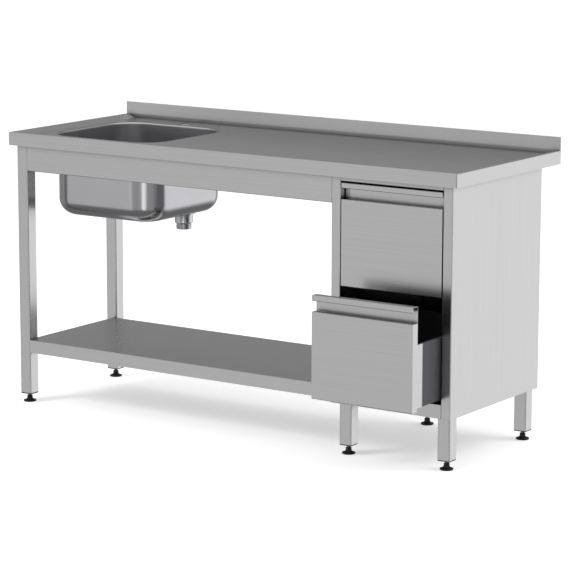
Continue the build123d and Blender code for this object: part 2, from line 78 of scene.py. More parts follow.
def add_node(
    tree: bpy.types.NodeTree,
    kind: str,
    settings: dict | None = None,
    links: dict | None = None,
) -> bpy.types.Node:
    """Adds a node with its settings and its links.

    Args:
        tree: Node tree that takes the node.
        kind: Blender's name of the node type.
        settings: Properties by attribute name, and unlinked inputs by socket name or number.
        links: Sockets, or nodes for their first output, by the name or number of the input they feed.

    Returns:
        The new node.
    """
    made = tree.nodes.new(kind)
    for name, value in (settings or {}).items():
        if isinstance(name, str) and hasattr(made, name):
            setattr(made, name, value)
        else:
            made.inputs[name].default_value = value
    for name, source in (links or {}).items():
        socket = source.outputs[0] if isinstance(source, bpy.types.Node) else source
        tree.links.new(socket, made.inputs[name])
    return made


def empty_material(name: str) -> bpy.types.Material:
    """Makes a material with an empty node tree."""
    material = bpy.data.materials.new(name)
    material.use_nodes = True
    material.node_tree.nodes.clear()
    return material


def surfaced(
    material: bpy.types.Material,
    tones: tuple[str, str],
    share: bpy.types.Node,
    rough: bpy.types.Node,
    relief: bpy.types.Node,
    settings: dict,
) -> bpy.types.Material:
    """Closes a finish with a colour that wavers between two tones.

    Args:
        material: Material to close.
        tones: Darker and lighter colour.
        share: Pattern that mixes them.
        rough: Pattern of the roughness.
        relief: Bump of the surface.
        settings: What sets this kind of matter apart.

    Returns:
        The same material.
    """
    tree = material.node_tree
    dark, light = tones
    colour = add_node(
        tree, "ShaderNodeMix", {"data_type": "RGBA", 6: linear(dark), 7: linear(light)}, {0: share}
    )
    links = {"Base Color": colour.outputs[2], "Roughness": rough, "Normal": relief}
    shader = add_node(tree, "ShaderNodeBsdfPrincipled", settings, links)
    add_node(tree, "ShaderNodeOutputMaterial", links={"Surface": shader})
    return material


# ------------------------------------------------------------------ finishes
class Grain(Enum):
    """Ways a belt-ground grain can run, as an axis, and the axis it turns to past a fold."""

    ALONG_X = (0, 2)
    ALONG_Y = (1, 2)
    ALONG_Z = (2, 1)

    def stretch(self, along: float, across: float, folded: bool) -> tuple[float, float, float]:
        """Gives the three pattern scales of lines that run along this grain.

        Args:
            along: Repeats in a metre down the lines.
            across: Repeats in a metre from line to line.
            folded: True for the flanges past a fold, where the lines turn with the sheet.

        Returns:
            The scale on each axis.
        """
        scales = [across, across, across]
        scales[self.value[1 if folded else 0]] = along
        return (scales[0], scales[1], scales[2])


@dataclass(frozen=True)
class SatinStainless:
    """Grade 1.4301 stainless, ground on a belt: fine straight lines and a broad, blurred shine.

    The real scratches lie about 0.1 mm apart, too fine to show, so they are drawn every few millimetres.
    Nooks, where sheets and tubes come close, are darker: a painted shade, drawn from an ambient-occlusion
    node.
    """

    name: str
    grain: Grain
    light: str = "#D1D0D0"
    dark: str = "#CCCBCB"
    roughness: float = 0.25
    spread: float = 0.007
    line_mm: float = 2.2
    length_mm: float = 420.0
    smudge_mm: float = 260.0
    relief_mm: float = 0.02
    relief_strength: float = 0.04
    scratch_band: tuple[float, float] = (0.32, 0.68)
    smudge_band: tuple[float, float] = (0.35, 0.7)
    # Painted shade in nooks: how far it reaches, its samples, its band, the share of bare colour left at its
    # deepest, and its colour.
    shade_reach_mm: float = 26.0
    shade_samples: int = 6
    shade_band: tuple[float, float] = (0.3, 0.85)
    shade_floor: float = 0.12
    painted_shade: str = "#1E1E20"
    lean: float = 0.0
    lean_above: float = 0.0

    def build(self) -> bpy.types.Material:
        """Makes the material.

        Returns:
            Satin stainless whose lines turn with the sheet at a fold.
        """
        material = empty_material(self.name)
        tree = material.node_tree
        place = add_node(tree, "ShaderNodeTexCoord").outputs["Object"]
        along, across = 1000 / self.length_mm, 1000 / self.line_mm
        flat = add_node(
            tree,
            "ShaderNodeMapping",
            {"Scale": self.grain.stretch(along, across, False)},
            {"Vector": place},
        )
        folded = add_node(
            tree, "ShaderNodeMapping", {"Scale": self.grain.stretch(along, across, True)}, {"Vector": place}
        )
        normal = add_node(tree, "ShaderNodeNewGeometry").outputs["True Normal"]
        facing = add_node(tree, "ShaderNodeSeparateXYZ", links={"Vector": normal})
        turned = add_node(
            tree, "ShaderNodeMath", {"operation": "ABSOLUTE"}, {0: facing.outputs[self.grain.value[0]]}
        )
        past_fold = add_node(tree, "ShaderNodeMath", {"operation": "GREATER_THAN", 1: FOLD}, {0: turned})
        lines_place = add_node(
            tree, "ShaderNodeMix", {"data_type": "VECTOR"}, {0: past_fold, 4: flat, 5: folded}
        )
        lines = add_node(
            tree,
            "ShaderNodeTexNoise",
            {"Scale": 1.0, "Detail": 3.0, "Roughness": 0.6},
            {"Vector": lines_place.outputs[1]},
        )
        faint, full = self.scratch_band
        scratched = add_node(
            tree, "ShaderNodeMapRange", {"From Min": faint, "From Max": full}, {"Value": lines}
        )
        smudge = add_node(
            tree, "ShaderNodeTexNoise", {"Scale": 1000 / self.smudge_mm, "Detail": 2.0}, {"Vector": place}
        )
        colour = add_node(
            tree,
            "ShaderNodeMix",
            {"data_type": "RGBA", 6: linear(self.dark), 7: linear(self.light)},
            {0: scratched},
        )
        # Painted shade: an ambient-occlusion node darkens the colour towards a dark grey where sheets and
        # tubes come close.
        occlusion = add_node(
            tree,
            "ShaderNodeAmbientOcclusion",
            {"samples": self.shade_samples, "Distance": self.shade_reach_mm * MM},
        )
        closed, bare = self.shade_band
        painted_shade = add_node(
            tree,
            "ShaderNodeMapRange",
            {"From Min": closed, "From Max": bare, "To Min": self.shade_floor, "To Max": 1.0},
            {"Value": occlusion.outputs["AO"]},
        )
        shaded_colour = add_node(
            tree,
            "ShaderNodeMix",
            {"data_type": "RGBA", 6: linear(self.painted_shade)},
            {0: painted_shade, 7: colour.outputs[2]},
        )
        ground = add_node(
            tree,
            "ShaderNodeMapRange",
            {**NOISE_BAND, "To Min": self.roughness - self.spread, "To Max": self.roughness},
            {"Value": lines},
        )
        clean, greasy = self.smudge_band
        handled = add_node(
            tree,
            "ShaderNodeMapRange",
            {"From Min": clean, "From Max": greasy, "To Min": 0.0, "To Max": self.spread},
            {"Value": smudge},
        )
        rough = add_node(tree, "ShaderNodeMath", {"operation": "ADD"}, {0: ground, 1: handled})
        relief = add_node(
            tree,
            "ShaderNodeBump",
            {"Strength": self.relief_strength, "Distance": self.relief_mm * MM},
            {"Height": lines, "Normal": self.leaning(tree, place, facing)},
        )
        shader = add_node(
            tree,
            "ShaderNodeBsdfPrincipled",
            {"Metallic": 1.0},
            {"Base Color": shaded_colour.outputs[2], "Roughness": rough, "Normal": relief},
        )
        add_node(tree, "ShaderNodeOutputMaterial", links={"Surface": shader})
        return material

    def leaning(
        self, tree: bpy.types.NodeTree, place: bpy.types.NodeSocket, facing: bpy.types.Node
    ) -> bpy.types.NodeSocket:
        """Tips the shading normal of a front face up, above a height. The mesh stays upright.

        Args:
            tree: Node tree of the finish.
            place: Object coordinates.
            facing: Split true normal.

        Returns:
            The smooth normal, tipped up on those faces.
        """
        height = add_node(tree, "ShaderNodeSeparateXYZ", links={"Vector": place})
        raised = add_node(
            tree, "ShaderNodeMath", {"operation": "GREATER_THAN", 1: self.lean_above}, {0: height.outputs[2]}
        )
        ahead = add_node(tree, "ShaderNodeMath", {"operation": "LESS_THAN", 1: -FOLD}, {0: facing.outputs[1]})
        both = add_node(tree, "ShaderNodeMath", {"operation": "MULTIPLY"}, {0: raised, 1: ahead})
        tip = add_node(tree, "ShaderNodeMath", {"operation": "MULTIPLY", 1: self.lean}, {0: both})
        upwards = add_node(tree, "ShaderNodeCombineXYZ", links={2: tip})
        smooth = add_node(tree, "ShaderNodeNewGeometry").outputs["Normal"]
        tipped = add_node(tree, "ShaderNodeVectorMath", {"operation": "ADD"}, {0: smooth, 1: upwards})
        unit = add_node(tree, "ShaderNodeVectorMath", {"operation": "NORMALIZE"}, {0: tipped})
        return unit.outputs[0]


@dataclass(frozen=True)
class MottledMetal:
    """A metal with cloudy patches and slight waves: a pressed and polished sheet, or a plating."""

    name: str
    light: str
    dark: str
    roughness: float
    patch_mm: float
    wave_mm: float
    wave_height_mm: float
    wave_strength: float = 0.5
    unevenness: float = 0.2

    def build(self) -> bpy.types.Material:
        """Makes the material.

        Returns:
            A metal whose shine and reflections waver a little.
        """
        material = empty_material(self.name)
        tree = material.node_tree
        place = add_node(tree, "ShaderNodeTexCoord").outputs["Object"]
        patches = add_node(
            tree, "ShaderNodeTexNoise", {"Scale": 1000 / self.patch_mm, "Detail": 3.0}, {"Vector": place}
        )
        waves = add_node(
            tree, "ShaderNodeTexNoise", {"Scale": 1000 / self.wave_mm, "Detail": 1.0}, {"Vector": place}
        )
        least, most = self.roughness * (1 - self.unevenness), self.roughness * (1 + self.unevenness)
        rough = add_node(
            tree, "ShaderNodeMapRange", {**NOISE_BAND, "To Min": least, "To Max": most}, {"Value": patches}
        )
        relief = add_node(
            tree,
            "ShaderNodeBump",
            {"Strength": self.wave_strength, "Distance": self.wave_height_mm * MM},
            {"Height": waves},
        )
        return surfaced(material, (self.dark, self.light), patches, rough, relief, {"Metallic": 1.0})


@dataclass(frozen=True)
class DrawnBowlStainless:
    """Stainless pressed into a bowl: polished bright outside, silk-polished and duller inside."""

    name: str
    middle: Vector
    light: str = "#C6C6C9"
    dark: str = "#BEBEC2"
    outside: float = 0.16
    inside: float = 0.36
    patch_mm: float = 70.0
    unevenness: float = 0.015
    wave_mm: float = 90.0
    wave_height_mm: float = 0.15
    wave_strength: float = 0.3

    def build(self) -> bpy.types.Material:
        """Makes the material.

        Returns:
            A metal whose roughness is told by whether a face looks towards the bowl's middle.
        """
        material = empty_material(self.name)
        tree = material.node_tree
        place = add_node(tree, "ShaderNodeTexCoord").outputs["Object"]
        outwards = add_node(
            tree, "ShaderNodeVectorMath", {"operation": "SUBTRACT", 1: self.middle}, {0: place}
        )
        facing = add_node(
            tree,
            "ShaderNodeVectorMath",
            {"operation": "DOT_PRODUCT"},
            {0: outwards, 1: add_node(tree, "ShaderNodeNewGeometry").outputs["True Normal"]},
        )
        outer = add_node(
            tree, "ShaderNodeMath", {"operation": "GREATER_THAN", 1: 0.0}, {0: facing.outputs["Value"]}
        )
        patches = add_node(
            tree, "ShaderNodeTexNoise", {"Scale": 1000 / self.patch_mm, "Detail": 3.0}, {"Vector": place}
        )
        waves = add_node(
            tree, "ShaderNodeTexNoise", {"Scale": 1000 / self.wave_mm, "Detail": 0.0}, {"Vector": place}
        )
        side = add_node(tree, "ShaderNodeMix", {2: self.inside, 3: self.outside}, {0: outer})
        rough = add_node(
            tree,
            "ShaderNodeMapRange",
            {**NOISE_BAND, "To Min": -self.unevenness, "To Max": self.unevenness},
            {"Value": patches},
        )
        uneven = add_node(tree, "ShaderNodeMath", {"operation": "ADD"}, {0: side, 1: rough})
        relief = add_node(
            tree,
            "ShaderNodeBump",
            {"Strength": self.wave_strength, "Distance": self.wave_height_mm * MM},
            {"Height": waves},
        )
        return surfaced(material, (self.dark, self.light), patches, uneven, relief, {"Metallic": 1.0})


@dataclass(frozen=True)
class SpeckledSolid:
    """A plastic, rubber or laminate with fine grain and faint specks in it."""

    name: str
    light: str
    dark: str
    roughness: float
    speck_mm: float
    relief_mm: float
    ior: float
    relief_strength: float = 0.4
    unevenness: float = 0.08

    def build(self) -> bpy.types.Material:
        """Makes the material.

        Returns:
            A non-metal with specks, a fine surface grain and uneven gloss.
        """
        material = empty_material(self.name)
        tree = material.node_tree
        place = add_node(tree, "ShaderNodeTexCoord").outputs["Object"]
        specks = add_node(
            tree,
            "ShaderNodeTexNoise",
            {"Scale": 1000 / self.speck_mm, "Detail": 2.0, "Roughness": 0.7},
            {"Vector": place},
        )
        rough = add_node(
            tree,
            "ShaderNodeMapRange",
            {"To Min": self.roughness - self.unevenness, "To Max": self.roughness + self.unevenness},
            {"Value": specks},
        )
        relief = add_node(
            tree,
            "ShaderNodeBump",
            {"Strength": self.relief_strength, "Distance": self.relief_mm * MM},
            {"Height": specks},
        )
        return surfaced(material, (self.dark, self.light), specks, rough, relief, {"IOR": self.ior})


class Finishes:
    """Every finish of the table, each made once."""

    def __init__(self) -> None:
        """Makes the materials."""
        self.satin = {
            grain: SatinStainless(f"satin_ground_stainless_{grain.name.lower()}", grain).build()
            for grain in Grain
        }
        # The same sheet, its upstand shaded as if it leaned back 6 degrees, which shows it brighter.
        above_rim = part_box("worktop")[0].z + Worktop.apron + 1 * MM
        self.top = SatinStainless(
            "satin_ground_stainless_top", Grain.ALONG_X, lean=0.1, lean_above=above_rim
        ).build()
        # Deep-drawn stainless: near a mirror outside, with the slow waves pressing leaves, and silky inside.
        self.bowl = DrawnBowlStainless("polished_drawn_stainless", middle("bowl")).build()
        # Weld metal brushed clean: duller and more broken than the sheet beside it.
        self.weld = MottledMetal(
            "brushed_weld_stainless",
            "#7F7D7A",
            "#5B5956",
            roughness=0.38,
            patch_mm=3.0,
            wave_mm=4.0,
            wave_height_mm=0.08,
        ).build()
        # Bright chrome plate over brass: cool, almost clean mirror.
        self.chrome = MottledMetal(
            "chrome_plated_brass",
            "#DCDDE0",
            "#CFD1D5",
            roughness=0.06,
            patch_mm=25.0,
            wave_mm=20.0,
            wave_height_mm=0.02,
        ).build()
        # Zinc plate, passivated clear: bluish and cloudy.
        self.zinc = MottledMetal(
            "clear_zinc_plated_steel",
            "#C5C8CC",
            "#A4A8AE",
            roughness=0.32,
            patch_mm=6.0,
            wave_mm=9.0,
            wave_height_mm=0.03,
        ).build()
        # Glass-filled polyamide, moulded with a fine spark texture: deep black with a dull, dusty edge light.
        self.polyamide = SpeckledSolid(
            "moulded_black_polyamide",
            "#26272A",
            "#141416",
            roughness=0.52,
            speck_mm=1.6,
            relief_mm=0.06,
            ior=1.53,
        ).build()
        # Powder coat on steel sheet: graphite grey with fine orange peel and a low sheen.
        self.graphite = SpeckledSolid(
            "graphite_powder_coated_steel",
            "#4B4C51",
            "#414247",
            roughness=0.42,
            speck_mm=1.8,
            relief_mm=0.05,
            ior=1.5,
        ).build()
        # Nitrile rubber, moulded: darker and duller than the plastic.
        self.rubber = SpeckledSolid(
            "moulded_nitrile_rubber",
            "#232322",
            "#121212",
            roughness=0.72,
            speck_mm=2.2,
            relief_mm=0.08,
            ior=1.52,
        ).build()
        # Chipboard with melamine paper pressed on: pale, even, with a faint fibre mottle.
        self.board = SpeckledSolid(
            "melamine_faced_chipboard",
            "#DEDAD1",
            "#C9C4B8",
            roughness=0.45,
            speck_mm=7.0,
            relief_mm=0.04,
            ior=1.5,
        ).build()


# ------------------------------------------------------------------ mesh helpers
def sharp_edges(mesh: bmesh.types.BMesh, limit: float = 35.0) -> list[bmesh.types.BMEdge]:
    """Finds the edges whose faces turn by more than a limit.

    Args:
        mesh: Mesh to look through.
        limit: Angle in degrees.

    Returns:
        The sharp edges.
    """
    return [edge for edge in mesh.edges if edge.is_manifold and edge.calc_face_angle() > math.radians(limit)]


def soften(
    mesh: bmesh.types.BMesh, edges: list[bmesh.types.BMEdge], radius: float, segments: int = 3
) -> None:
    """Rounds edges.

    Args:
        mesh: Mesh to change.
        edges: Edges to round.
        radius: Radius in metres.
        segments: Facets in each rounding.
    """
    bmesh.ops.bevel(
        mesh,
        geom=edges,
        offset=radius,
        offset_type="OFFSET",
        affect="EDGES",
        segments=segments,
        profile=0.5,
        material=-1,
        clamp_overlap=True,
    )


def turned(profile: list[tuple[float, float]], centre: Vector, steps: int = 48) -> bmesh.types.BMesh:
    """Turns an open line round an upright axis.

    Args:
        profile: Points as (radius, height above the centre), in metres.
        centre: Point on the axis.
        steps: Facets round the axis.

    Returns:
        A closed mesh.
    """
    mesh = bmesh.new()
    line = [mesh.verts.new((centre.x + radius, centre.y, centre.z + height)) for radius, height in profile]
    edges = [mesh.edges.new(pair) for pair in zip(line, line[1:])]
    bmesh.ops.spin(
        mesh,
        geom=line + edges,
        cent=centre,
        axis=(0, 0, 1),
        dvec=(0, 0, 0),
        angle=math.tau,
        steps=steps,
        use_merge=True,
    )
    bmesh.ops.remove_doubles(mesh, verts=mesh.verts[:], dist=0.001 * MM)
    bmesh.ops.recalc_face_normals(mesh, faces=mesh.faces[:])
    return mesh


def slab(low: Vector, high: Vector) -> bmesh.types.BMesh:
    """Makes a box between two corners, ready to be shaped.

    Args:
        low: Lowest corner.
        high: Highest corner.

    Returns:
        The box as a mesh.
    """
    mesh = bmesh.new()
    size = high - low
    place = Matrix.Translation((low + high) / 2) @ Matrix.Diagonal((size.x, size.y, size.z, 1))
    bmesh.ops.create_cube(mesh, size=1.0, matrix=place)
    return mesh


def upright_edges(mesh: bmesh.types.BMesh) -> list[bmesh.types.BMEdge]:
    """Gives the edges that run straight up."""
    return [edge for edge in mesh.edges if abs((edge.verts[0].co - edge.verts[1].co).normalized().z) > 0.99]


def as_piece(
    name: str,
    mesh: bmesh.types.BMesh,
    finish: bpy.types.Material,
    body: str,
) -> bpy.types.Object:
    """Turns a finished mesh into a piece that rides on a body.

    Args:
        name: Name of the piece.
        mesh: Mesh, which is freed.
        finish: Its material.
        body: CAD body it moves with.

    Returns:
        The new object.
    """
    for face in mesh.faces:
        face.smooth = True
    for edge in sharp_edges(mesh):
        edge.smooth = False
    data = bpy.data.meshes.new(name)
    mesh.to_mesh(data)
    mesh.free()
    data.materials.append(finish)
    piece = bpy.data.objects.new(name, data)
    bpy.context.scene.collection.objects.link(piece)
    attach(piece, body)
    LOG.info("%s: %d faces on %s", name, len(data.polygons), body)
    return piece


def dress(node: str, finish: bpy.types.Material) -> None:
    """Gives a CAD node its finish.

    Args:
        node: Name of the CAD node.
        finish: Material for all of it.
    """
    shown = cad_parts[node]
    if not shown.material_slots:
        shown.data.materials.append(finish)
    for place in shown.material_slots:
        place.material = finish
    LOG.info("%s: CAD node in %s", node, finish.name)


def middle(node: str) -> Vector:
    """Gives the middle of a CAD node's box."""
    low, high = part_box(node)
    return (low + high) / 2


# ------------------------------------------------------------------ joining details
@dataclass
class Assembly:
    """A part of the table that is built in the table's finishes."""

    finishes: Finishes


@dataclass
class WeldBead(Assembly):
    """A straight run of weld with its ripples."""

    name: str
    start: Vector
    end: Vector
    radius: float = 1.3 * MM
    ripple: float = 2.4 * MM
    end_share: float = 0.55
    dip_share: float = 0.86

    def build(self) -> None:
        """Makes the bead as a bar of uneven rings between its two ends."""
        run = self.end - self.start
        rings = max(4, 2 * round(run.length / self.ripple))
        mesh = bmesh.new()
        bmesh.ops.create_cone(
            mesh, cap_ends=True, segments=8, radius1=self.radius, radius2=self.radius, depth=run.length
        )
        bmesh.ops.subdivide_edges(mesh, edges=upright_edges(mesh), cuts=rings, use_grid_fill=True)
        levels: dict[int, list[bmesh.types.BMVert]] = {}
        for vert in mesh.verts:
            levels.setdefault(round(vert.co.z / run.length * (rings + 1) * 2), []).append(vert)
        for number, level in enumerate(sorted(levels)):
            ends = number in (0, len(levels) - 1)
            thin = self.end_share if ends else (self.dip_share if number % 2 else 1.0)
            bmesh.ops.scale(mesh, vec=(thin, thin, 1.0), verts=levels[level])
        turn = run.to_track_quat("Z", "Y").to_matrix().to_4x4()
        place = Matrix.Translation((self.start + self.end) / 2) @ turn
        bmesh.ops.transform(mesh, matrix=place, verts=mesh.verts[:])
        as_piece(self.name, mesh, self.finishes.weld, TABLE)


# ------------------------------------------------------------------ worktop and bowl
@dataclass
class Worktop(Assembly):
    """The sunken top with its rim, its bonded board and the dressed welds at its corners."""

    rim_flat: float = 12 * MM
    rim_slope: float = 30 * MM
    rim_drop: float = 10 * MM
    apron: float = 40 * MM
    corner: float = 3 * MM
    corner_bead: float = 1.8 * MM
    corner_ripple: float = 3.0 * MM
    corner_sunk_share: float = 0.62
    corner_start: float = 0.4 * MM
    corner_short: float = 2.2 * MM
    mitre_bead: float = 0.7 * MM
    mitre_ripple: float = 2.6 * MM
    mitre_sunk: float = 0.45 * MM
    mitre_short: float = 1.5 * MM
    seam_width: float = 1.6 * MM
    seam_height: float = 0.25 * MM
    seam_sunk: float = 0.05 * MM
    seam_edge: float = 0.12 * MM
    seam_facets: int = 14
    bowl_corner: float = 91 * MM

    def build(self) -> None:
        """Dresses the top and board and adds their welds."""
        dress("worktop", self.finishes.top)
        dress("core_board", self.finishes.board)
        low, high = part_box("worktop")
        rim = low.z + self.apron
        for side, x, inwards in (("left", low.x, 1), ("right", high.x, -1)):
            self.corner_weld(side, x, inwards, rim, low.y)
            self.mitre_weld(side, x, inwards, rim, low.y)
        self.bowl_seam()

    def corner_weld(self, side: str, x: float, inwards: int, rim: float, front: float) -> None:
        """Adds the dressed weld down an apron's front corner.

        Args:
            side: Which end of the top.
            x: Outside of that end.
            inwards: Direction on X into the table.
            rim: Height of the rim.
            front: Front of the apron.
        """
        inset = self.corner * (1 - math.sqrt(0.5)) + self.corner_bead * self.corner_sunk_share
        foot = Vector((x + inwards * inset, front + inset, rim - self.apron + self.corner_start))
        top = foot + Vector((0, 0, self.apron - self.corner_short))
        name = f"apron_corner_weld_{side}"
        WeldBead(self.finishes, name, foot, top, self.corner_bead, self.corner_ripple).build()

    def mitre_weld(self, side: str, x: float, inwards: int, rim: float, front: float) -> None:
        """Adds the flat weld along the mitre of the sloping rim.

        Args:
            side: Which end of the top.
            x: Outside of that end.
            inwards: Direction on X into the table.
            rim: Height of the rim.
            front: Front of the apron.
        """
        upper = Vector((x + inwards * self.rim_flat, front + self.rim_flat, rim))
        run = self.rim_slope - self.mitre_short
        lower = upper + Vector((inwards * run, run, -self.rim_drop * run / self.rim_slope))
        sunk = Vector((0, 0, -self.mitre_sunk))
        name = f"rim_mitre_weld_{side}"
        WeldBead(self.finishes, name, upper + sunk, lower + sunk, self.mitre_bead, self.mitre_ripple).build()

    def bowl_seam(self) -> None:
        """Adds the ground weld that runs round the bowl."""
        low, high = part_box("bowl")
        half = (high.x - low.x) / 2
        mesh = bmesh.new()
        bmesh.ops.create_grid(mesh, x_segments=1, y_segments=1, size=half + self.seam_width / 2)
        bmesh.ops.bevel(
            mesh,
            geom=mesh.verts[:],
            offset=self.bowl_corner,
            offset_type="OFFSET",
            affect="VERTICES",
            segments=self.seam_facets,
            profile=0.5,
            material=-1,
        )
        bmesh.ops.inset_region(
            mesh, faces=mesh.faces[:], thickness=self.seam_width, use_boundary=True, use_even_offset=True
        )
        inner = max(mesh.faces, key=lambda face: len(face.verts))
        bmesh.ops.delete(mesh, geom=[inner], context="FACES_ONLY")
        raised = bmesh.ops.extrude_face_region(mesh, geom=mesh.faces[:])["geom"]
        upper = [part for part in raised if isinstance(part, bmesh.types.BMVert)]
        bmesh.ops.translate(mesh, vec=(0, 0, self.seam_height), verts=upper)
        bmesh.ops.recalc_face_normals(mesh, faces=mesh.faces[:])
        edges = [edge for edge in sharp_edges(mesh) if edge.calc_length() > 0]
        crest = [edge for edge in edges if edge.verts[0].co.z > 0.1 * MM]
        soften(mesh, crest, self.seam_edge, 2)
        place = Vector(((low.x + high.x) / 2, (low.y + high.y) / 2, high.z - self.seam_sunk))
        bmesh.ops.translate(mesh, vec=place, verts=mesh.verts[:])
        as_piece("bowl_seam_weld", mesh, self.finishes.weld, TABLE)


@dataclass
class Bowl(Assembly):
    """The pressed bowl and the waste that hangs under it."""

    cup_radius: float = 28.5 * MM
    tail_radius: float = 23.9 * MM
    tail_height: float = 18 * MM
    wall: float = 2.5 * MM
    nut_radius: float = 34 * MM
    nut_height: float = 4 * MM
    pitch: float = 2.309 * MM
    thread_depth: float = 1.1 * MM
    thread_start: float = 1.0 * MM
    thread_sunk: float = 0.1 * MM
    thread_share: float = 0.8
    thread_facets: int = 40
    shoulder: float = 3.5 * MM
    cup_facets: int = 64
    cup_edge: float = 0.5 * MM
    spider: float = 10 * MM
    spider_height: float = 5.5 * MM
    spider_edge: float = 1.2 * MM

    def build(self) -> None:
        """Dresses the bowl, strainer and seals, and turns the waste's outlet."""
        dress("bowl", self.finishes.bowl)
        dress("waste_strainer", self.finishes.chrome)
        dress("waste_screw", self.finishes.zinc)
        dress("waste_seal_upper", self.finishes.rubber)
        dress("waste_seal_lower", self.finishes.rubber)
        self.outlet()
        self.spider_bar()

    def outlet(self) -> None:
        """Turns the cup with its flange and its threaded tail."""
        low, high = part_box("waste_body")
        axis = Vector(((low.x + high.x) / 2, (low.y + high.y) / 2, low.z))
        top, step = high.z - low.z, self.tail_height
        inside_tail, inside_cup = self.tail_radius - self.wall, self.cup_radius - self.wall
        profile = [
            (inside_tail, 0.0),
            (self.tail_radius - self.thread_depth, 0.0),
            (self.tail_radius - self.thread_depth, step),
            (self.cup_radius - self.shoulder, step),
            (self.cup_radius, step + self.shoulder),
            (self.cup_radius, top - self.nut_height),
            (self.nut_radius, top - self.nut_height),
            (self.nut_radius, top),
            (inside_cup, top),
            (inside_cup, step + 2 * self.wall),
            (inside_tail, step + 2 * self.wall),
        ]
        mesh = turned([*profile, profile[0]], axis, self.cup_facets)
        soften(mesh, sharp_edges(mesh), self.cup_edge, 2)
        as_piece("waste_outlet_cup", mesh, self.finishes.chrome, TABLE)
        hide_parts("waste_body")
        ridge = self.thread_ridge(axis)
        as_piece("waste_outlet_thread", ridge, self.finishes.chrome, TABLE)

    def thread_ridge(self, axis: Vector) -> bmesh.types.BMesh:
        """Winds the tail's thread as one long ridge.

        Args:
            axis: Point on the outlet's axis at its lower end.

        Returns:
            The ridge as a closed mesh.
        """
        mesh = bmesh.new()
        root, crest = self.tail_radius - self.thread_depth - self.thread_sunk, self.tail_radius
        foot, height = axis.z + self.thread_start, self.pitch * self.thread_share
        corners = [
            (root, foot),
            (root, foot + height),
            (crest, foot + height * 0.62),
            (crest, foot + height * 0.38),
        ]
        line = [mesh.verts.new((axis.x + radius, axis.y, z)) for radius, z in corners]
        edges = [mesh.edges.new(pair) for pair in zip(line, line[1:] + line[:1])]
        turns = int((self.tail_height - 3 * MM) / self.pitch)
        steps = self.thread_facets * turns
        bmesh.ops.spin(
            mesh,
            geom=line + edges,
            cent=axis,
            axis=(0, 0, 1),
            dvec=(0, 0, self.pitch * turns / steps),
            angle=math.tau * turns,
            steps=steps,
        )
        bmesh.ops.holes_fill(mesh, edges=[edge for edge in mesh.edges if edge.is_boundary], sides=4)
        bmesh.ops.recalc_face_normals(mesh, faces=mesh.faces[:])
        return mesh

    def spider_bar(self) -> None:
        """Adds the cross bar in the cup that takes the strainer's screw."""
        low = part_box("waste_body")[0]
        centre = middle("waste_body")
        reach = self.cup_radius - self.wall / 2
        foot = low.z + self.tail_height + self.wall
        bar = slab(
            Vector((centre.x - reach, centre.y - self.spider / 2, foot)),
            Vector((centre.x + reach, centre.y + self.spider / 2, foot + self.spider_height)),
        )
        soften(bar, bar.edges[:], self.spider_edge)
        as_piece("waste_spider_bar", bar, self.finishes.chrome, TABLE)


# ------------------------------------------------------------------ frame, shelf and cabinet
@dataclass
class Frame(Assembly):
    """Legs, rails and the welds between them."""

    weld_proud: float = 0.2 * MM
    weld_in: float = 2.6 * MM
    weld_end: float = 1 * MM
    rails: dict[str, Grain] = field(
        default_factory=lambda: {
            "front_rail": Grain.ALONG_X,
            "rear_rail": Grain.ALONG_X,
            "left_rail": Grain.ALONG_Y,
        }
    )

    def build(self) -> None:
        """Dresses the legs and rails and welds the rails to the legs."""
        for place in PLACES:
            dress(f"leg_{place}", self.finishes.satin[Grain.ALONG_Z])
        for rail, grain in self.rails.items():
            dress(rail, self.finishes.satin[grain])
        rail_low, rail_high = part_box("front_rail")
        WeldBead(
            self.finishes,
            "front_rail_weld",
            Vector((rail_low.x + self.weld_proud, rail_low.y + self.weld_in, rail_low.z + self.weld_end)),
            Vector((rail_low.x + self.weld_proud, rail_low.y + self.weld_in, rail_high.z - self.weld_end)),
        ).build()
        side_low, side_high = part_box("left_rail")
        for end, y in (("front", side_low.y + self.weld_proud), ("rear", side_high.y - self.weld_proud)):
            WeldBead(
                self.finishes,
                f"left_rail_weld_{end}",
                Vector((side_low.x + self.weld_in, y, side_low.z + self.weld_end)),
                Vector((side_low.x + self.weld_in, y, side_high.z - self.weld_end)),
            ).build()


@dataclass
class Shelf(Assembly):
    """The under-shelf, its stiffener and the welds to the front left leg."""

    weld_off: float = 0.3 * MM
    weld_proud: float = 0.1 * MM
    weld_end: float = 4 * MM
    weld_hook: float = 8 * MM

    def build(self) -> None:
        """Dresses the shelf and welds it to the front left leg."""
        dress("shelf", self.finishes.satin[Grain.ALONG_X])
        dress("shelf_stiffener", self.finishes.satin[Grain.ALONG_X])
        low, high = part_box("shelf")
        leg_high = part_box("leg_front_left")[1]
        edge = leg_high.x + self.weld_off
        WeldBead(
            self.finishes,
            "shelf_weld_front_leg",
            Vector((edge, low.y + self.weld_end, high.z + self.weld_proud)),
            Vector((edge, leg_high.y - self.weld_end, high.z + self.weld_proud)),
        ).build()
        behind, level = leg_high.y + self.weld_off, high.z + self.weld_proud
        WeldBead(
            self.finishes,
            "shelf_weld_front_leg_back",
            Vector((leg_high.x - self.weld_hook, behind, level)),
            Vector((leg_high.x - self.weld_end, behind, level)),
        ).build()


@dataclass
class Cabinet(Assembly):
    """The drawer cabinet: sides with their stiles, back, floor and top strip."""

    grains: dict[str, Grain] = field(
        default_factory=lambda: {
            "cabinet_left_side": Grain.ALONG_Z,
            "cabinet_right_side": Grain.ALONG_Z,
            "cabinet_back": Grain.ALONG_Z,
            "cabinet_floor": Grain.ALONG_X,
            "cabinet_top_rail": Grain.ALONG_X,
        }
    )

    def build(self) -> None:
        """Dresses the cabinet's sheets."""
        for node, grain in self.grains.items():
            dress(node, self.finishes.satin[grain])


